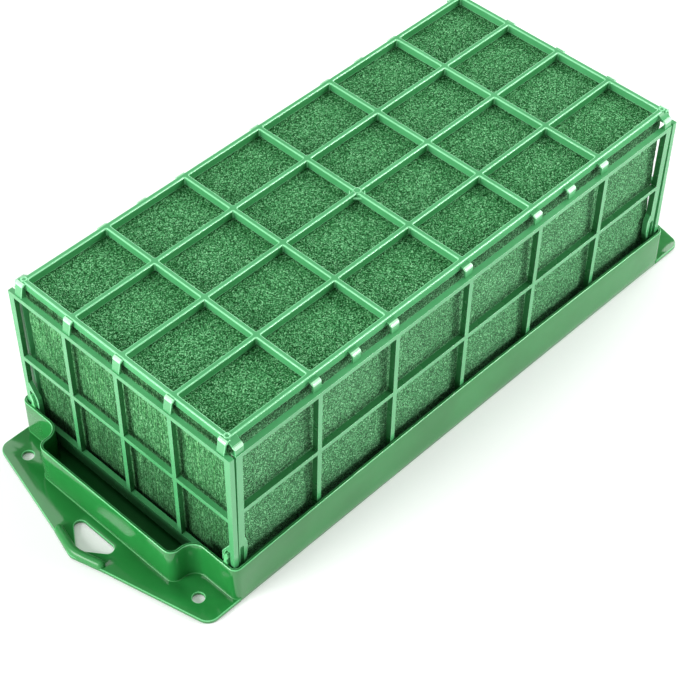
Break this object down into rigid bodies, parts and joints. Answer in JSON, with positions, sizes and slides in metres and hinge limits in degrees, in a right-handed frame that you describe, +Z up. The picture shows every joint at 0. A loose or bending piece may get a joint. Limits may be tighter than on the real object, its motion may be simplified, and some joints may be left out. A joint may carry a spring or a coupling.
{
  "type": "caged floral foam brick",
  "caption": "Floral foam brick in a shallow plastic tray with hang tabs, held under a clip-on moulded net cage with living-hinge sides.",
  "frame": {"origin": "centre of the tray's underside, on the plane it rests on", "axes": "+X along the brick towards its rear hang tab, +Y towards its left side, +Z up through the foam to the cage's top grid"},
  "size_m": [0.31, 0.1212, 0.0855],
  "materials": {
    "tray_plastic": "glossy moulded polypropylene, mid green",
    "cage_plastic": "semi-gloss moulded polypropylene, lighter mint green",
    "floral_foam": "dry matt phenolic foam, dark green with fine open cells"
  },
  "bodies": {
    "tray": {"tray_shell": "tray_plastic", "front_hang_tab": "tray_plastic", "rear_hang_tab": "tray_plastic", "front_grip_bar": "tray_plastic", "rear_grip_bar": "tray_plastic", "front_left_hook": "tray_plastic", "front_right_hook": "tray_plastic", "rear_left_hook": "tray_plastic", "rear_right_hook": "tray_plastic"},
    "foam": {"foam_brick": "floral_foam"},
    "cage_top": {"top_grid": "cage_plastic", "right_hinge_straps": "cage_plastic", "left_hinge_straps": "cage_plastic", "front_hinge_straps": "cage_plastic", "rear_hinge_straps": "cage_plastic"},
    "right_panel": {"right_side_grid": "cage_plastic", "front_right_latch_lug": "cage_plastic", "rear_right_latch_lug": "cage_plastic"},
    "left_panel": {"left_side_grid": "cage_plastic", "front_left_latch_lug": "cage_plastic", "rear_left_latch_lug": "cage_plastic"},
    "front_panel": {"front_end_grid": "cage_plastic", "front_left_latch_eye": "cage_plastic", "front_right_latch_eye": "cage_plastic"},
    "rear_panel": {"rear_end_grid": "cage_plastic", "rear_left_latch_eye": "cage_plastic", "rear_right_latch_eye": "cage_plastic"}
  },
  "joints": [
    {"name": "cage_lift", "type": "slide", "parent": "tray", "child": "cage_top", "axis": [0, 0, 1], "range_m": [0, 0.16]},
    {"name": "foam_lift", "type": "slide", "parent": "tray", "child": "foam", "axis": [0, 0, 1], "range_m": [0, 0.08]},
    {"name": "right_panel_hinge", "type": "hinge", "parent": "cage_top", "child": "right_panel", "pos_m": [0, -0.0564, 0.0822], "axis": [-1, 0, 0], "range_deg": [0, 3.57], "deforming": ["right_hinge_straps"]},
    {"name": "left_panel_hinge", "type": "hinge", "parent": "cage_top", "child": "left_panel", "pos_m": [0, 0.0564, 0.0822], "axis": [1, 0, 0], "range_deg": [0, 3.57], "deforming": ["left_hinge_straps"]},
    {"name": "front_panel_hinge", "type": "hinge", "parent": "cage_top", "child": "front_panel", "pos_m": [-0.1215, 0, 0.0837], "axis": [0, 1, 0], "range_deg": [0, 3.57], "deforming": ["front_hinge_straps"]},
    {"name": "rear_panel_hinge", "type": "hinge", "parent": "cage_top", "child": "rear_panel", "pos_m": [0.1215, 0, 0.0837], "axis": [0, -1, 0], "range_deg": [0, 3.57], "deforming": ["rear_hinge_straps"]}
  ],
  "couplings": [
    {"joint": "foam_lift", "follows": "cage_lift", "ratio": 0.5},
    {"joint": "right_panel_hinge", "follows": "cage_lift", "rad_per_m": 0.38397},
    {"joint": "left_panel_hinge", "follows": "cage_lift", "rad_per_m": 0.38397},
    {"joint": "front_panel_hinge", "follows": "cage_lift", "rad_per_m": 0.38397},
    {"joint": "rear_panel_hinge", "follows": "cage_lift", "rad_per_m": 0.38397}
  ]
}
